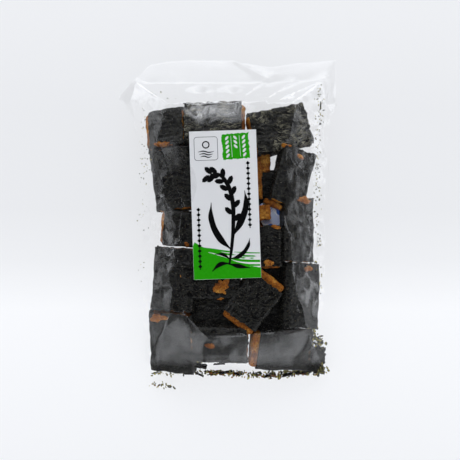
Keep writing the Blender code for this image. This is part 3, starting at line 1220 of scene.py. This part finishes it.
# Dry-brush streaks above it: places and widths
STREAKS = [
    [(-22.4, -26.6, 3.8), (-17.5, -29.2, 2.6), (-8.1, -31.9, 2), (1.4, -33.9, 1.3), (6, -34.5, 0.3)],
    [(8.5, -34.9, 0.4), (12.2, -35.3, 1.2), (18, -35.6, 0.9), (20, -35.8, 0.1)],
    [(-16.1, -28.7, 0.4), (-8, -30.5, 1.3), (0.75, -32, 1.2), (4, -32.4, 0.1)],
    [(5, -32.4, 0.3), (12.2, -33.1, 0.9), (22.5, -33.7, 0.7)],
    [(1.3, -36.3, 0.5), (6, -37.5, 1.7), (10.7, -38.4, 1.7), (22.4, -39.1, 1.6)],
    [(5.9, -39.3, 0.5), (13.3, -41.3, 1.3), (22.4, -41.8, 1.2)],
    [(9, -36.3, 0.3), (11, -36.6, 1), (13, -36.7, 0.1)],
    [(15, -36.9, 0.1), (17, -37, 0.8), (18.5, -37, 0.1)],
]


def make_field():
    """The field of green from its brushed edge down to the foot of the label."""
    field = start_from(bpy.ops.mesh.primitive_grid_add, x_subdivisions=60, y_subdivisions=10, size=1)
    foot, side = -EDGE_Y / MM, EDGE_X / MM
    across, up = zip(*FIELD_EDGE)
    for vert in field.data.vertices:
        x = 2 * side * vert.co.x
        top = float(np.interp(x, across, up)) + 0.12 * math.sin(2.3 * x)
        vert.co = (x * MM, (foot + (vert.co.y + 0.5) * (top - foot)) * MM, 0)
    give_wall(field, INK_FILM)
    return field


STAMP_WIDTH, STAMP_HEIGHT = 18.3, 17.4
STAMP_PLACE = Matrix.Translation((8.6 * MM, 39.4 * MM, 0)) @ Matrix.Rotation(math.radians(2.4), 4, "Z")
STAMP_COLUMN, STAMP_ROW = 5.7, 3.0  # from one column or grain to the next, in mm


def make_stamp():
    """A square hand-cut seal with a ragged edge."""
    stamp = start_from(bpy.ops.mesh.primitive_grid_add, x_subdivisions=30, y_subdivisions=30, size=1)
    for vert in stamp.data.vertices:
        x, y = vert.co.x * STAMP_WIDTH, vert.co.y * STAMP_HEIGHT
        if max(abs(vert.co.x), abs(vert.co.y)) > 0.49:
            grow = 1 + noise.noise(Vector((x * 0.7, y * 0.7, 3))) * 0.7 / 9
            x, y = x * grow, y * grow
        vert.co = (x * MM, y * MM, 0)
    give_wall(stamp, INK_FILM)
    put_at(STAMP_PLACE, stamp)
    return stamp


def dab(x, y, length, width, turn):
    """One grain-shaped dab of the brush, about a place, in mm."""
    half = Vector((math.cos(math.radians(turn)), math.sin(math.radians(turn)))) * length / 2
    pressed = ((-1, 0.25), (-0.55, 0.85), (0, 1), (0.55, 0.85), (1, 0.25))
    return [(x + half.x * share, y + half.y * share, press * width) for share, press in pressed]


def stamp_marks():
    """What the seal leaves white: rows of grains in three columns, and the lines between them."""
    marks = []
    for column, rows, turn in ((-1, 5, 50), (0, 3, -50), (1, 5, 50)):
        for row in range(rows):
            grain = dab(STAMP_COLUMN * column, 5.9 - STAMP_ROW * row, 3.3, 1.6, turn)
            marks.append(draw_stroke(grain))
    for column in (-0.5, 0.5):
        marks.append(draw_bar(STAMP_COLUMN * column, 0, 0.25, 14.5))
    put_at(STAMP_PLACE, *marks)
    return marks


BADGE_X, BADGE_Y, BADGE_SIZE = -11.7, 38.4, 16.2  # mm


def make_badge():
    """The badge's thin rounded frame."""
    badge = start_from(bpy.ops.mesh.primitive_plane_add, size=BADGE_SIZE * MM)
    open_mesh(badge)
    bpy.ops.mesh.bevel(offset=2 * MM, segments=5, affect="VERTICES")
    bpy.ops.mesh.inset(thickness=0.32 * MM)
    bpy.ops.mesh.delete(type="FACE")
    bpy.ops.mesh.select_all(action="SELECT")
    bpy.ops.mesh.extrude_region_move(TRANSFORM_OT_translate={"value": (0, 0, INK_FILM)})
    bpy.ops.mesh.select_all(action="SELECT")
    bpy.ops.mesh.normals_make_consistent(inside=False)
    close_mesh()
    badge.location = (BADGE_X * MM, BADGE_Y * MM, 0)
    settle(badge)
    return badge


def badge_marks():
    """A sun over three furrows."""
    sun = [
        (BADGE_X + 2.2 * math.cos(angle), 41 + 2.2 * math.sin(angle), 0.8)
        for angle in np.linspace(0, 2 * math.pi, 13)
    ]
    shapes = [draw_stroke(sun)]
    for row, half in enumerate((5.4, 4.6, 3.8)):
        y = 36.2 - 1.7 * row
        wave = ((-1, 0, 0.3), (-1 / 3, 0.5, 0.75), (1 / 3, -0.4, 0.75), (1, 0.1, 0.3))
        shapes.append(draw_stroke([(BADGE_X + half * u, y + up, press) for u, up, press in wave]))
    return shapes


# The brush drawing of an ear of rice, in place of any lettering: places and pressed widths in mm
EAR_STEM = [
    (1.5, -41, 1.4), (3.8, -27, 2.2), (5.2, -12, 2.6), (5, 3, 3.0), (1.6, 14.5, 2.8), (-3.8, 20.5, 2.2),
    (-9.4, 20.6, 0.8),
]
LEAVES = [
    [(4.4, -22, 0.8), (10.2, -12, 4.6), (14.2, -1, 3.8), (13.6, 9, 0.4)],
    [(3.4, -31, 0.8), (-4.5, -22.5, 4.4), (-9.6, -10, 3.8), (-9.4, 1.5, 0.4)],
    [(2.6, -37, 0.6), (8.6, -35.2, 3.0), (14.4, -29, 2.4), (16, -23.5, 0.3)],
    [(1.4, -40, 0.8), (-4.5, -40.4, 3.0), (-10.2, -45, 0.6)],
    [(1.6, -40.5, 0.8), (7.4, -42, 3.0), (15.6, -43.6, 0.5)],
    [(2.4, -37.6, 0.5), (-2.4, -34, 2.2), (-8, -33.4, 0.4)],
]
GRAINS, GRAIN_LENGTH, GRAIN_WIDTH = 14, 6.4, 3.5  # mm


def ear_grains():
    """Grains on both sides of the drooping end of the stem, each one dab of the brush."""
    dabs = []
    path = EAR_STEM[2:]
    for step in range(GRAINS):
        reach = step / (GRAINS - 1) * (len(path) - 1.001)
        leg = int(reach)
        start, end = Vector(path[leg][:2]), Vector(path[leg + 1][:2])
        run = (end - start).normalized()
        side = 1 if step % 2 else -1
        out = (run * 0.8 + Vector((-run.y, run.x)) * side * 0.75).normalized()
        middle = start.lerp(end, reach - leg) + out * (0.9 + GRAIN_LENGTH / 2)
        dabs.append(dab(*middle, GRAIN_LENGTH, GRAIN_WIDTH, math.degrees(math.atan2(out.y, out.x))))
    return dabs


DIAMOND_STEP = 3.5  # mm
DIAMOND_COLUMNS = [(16.4, 27.6, 13), (-18.2, -3, 12)]  # place across, top, and how many


def print_columns():
    """Two columns of plain diamonds and dots beside the drawing."""
    shapes = []
    for x, top, count in DIAMOND_COLUMNS:
        for row in range(count):
            y = top - DIAMOND_STEP * row
            shapes.append(draw_bar(x, y, 2.0, 2.0, turn=45))
            shapes.append(draw_bar(x, y - DIAMOND_STEP / 2, 0.7, 0.7))
    return shapes


streaks = [draw_stroke(streak) for streak in STREAKS]
print_shapes([make_field(), make_stamp(), *streaks], "green_print", green_ink, FIRST_INK)
print_shapes(stamp_marks(), "stamp_marks", white_ink, SECOND_INK)
print_shapes([make_badge()], "badge_print", grey_ink, FIRST_INK)
drawing = [draw_stroke(stroke) for stroke in [EAR_STEM] + LEAVES + ear_grains()]
print_shapes(drawing + print_columns() + badge_marks(), "black_print", black_ink, SECOND_INK)


# ---------------------------------------------------------------- floor, light and camera

# The light tent's parts: the axis a part lies along, where on it the part starts and is full, and
# how bright it is before and after
TENT = {
    "overhead": ("Z", 0.84, 0.62, 0.02, 1.0),
    "window": ("Y", 0.33, 0.54, 0.0, 1.0),
    "near_panel": ("Y", -0.34, -0.52, 0.0, 1.0),
    "far_light": ("Y", 0.54, 0.8, 0.0, 1.0),
    "right_light": ("X", 0.3, 0.65, 1.2, 1.66),
    "walls": ("Z", 0.0, 0.25, 0.85, 1.2),
}
NEAR_SHARE, FAR_SHARE = 0.3, 1.4  # what the near panel and the far light add
CAMERA_PLACE = (1.75 * MM, -3.15 * MM, 774 * MM)


def make_floor():
    floor = start_from(bpy.ops.mesh.primitive_plane_add, size=6, location=(0, 0, -0.2 * MM))
    floor.name = "floor"
    floor.data.materials.append(floor_material())


def light_room():
    """A white light tent, open and dark straight above where the camera looks in."""
    world = bpy.data.worlds.new("light_tent")
    bpy.context.scene.world = world
    world.use_nodes = True
    world.node_tree.nodes.clear()
    direction = add_node(world, "TexCoord").outputs["Generated"]
    parts = add_node(world, "SeparateXYZ", Vector=direction)
    tent = {}
    for name, (axis, start, full, before, after) in TENT.items():
        tent[name] = add_node(
            world, "MapRange", SMOOTH, Value=parts.outputs[axis], From_Min=start, From_Max=full,
            To_Min=before, To_Max=after,
        )
    either = add_node(world, "Math", MAXIMUM, _0=tent["near_panel"], _1=tent["window"])
    strength = add_node(world, "Math", MAXIMUM, _0=tent["overhead"], _1=either)
    near = add_node(
        world, "Math", MULTIPLY_ADD, _0=tent["near_panel"], _1=NEAR_SHARE, _2=tent["right_light"]
    )
    brighter = add_node(world, "Math", MULTIPLY_ADD, _0=tent["far_light"], _1=FAR_SHARE, _2=near)
    folds = add_node(world, "TexNoise", Vector=direction, Scale=3.2, Detail=5.0)
    uneven = add_node(
        world, "MapRange", Value=folds, From_Min=0.4, From_Max=0.6, To_Min=0.1, To_Max=1.35
    )
    for factor in (tent["walls"], brighter, uneven):
        strength = add_node(world, "Math", MULTIPLY, _0=strength, _1=factor)
    light = add_node(world, "Background", Color=(0.93, 0.955, 1, 1), Strength=strength)
    add_node(world, "OutputWorld", Surface=light)


def place_camera():
    data = bpy.data.cameras.new("camera")
    data.lens = 85
    data.sensor_width = 36
    camera = bpy.data.objects.new("camera", data)
    bpy.context.collection.objects.link(camera)
    camera.location = CAMERA_PLACE
    bpy.context.scene.camera = camera


make_floor()
light_room()
place_camera()
bpy.context.scene.view_settings.view_transform = "Standard"
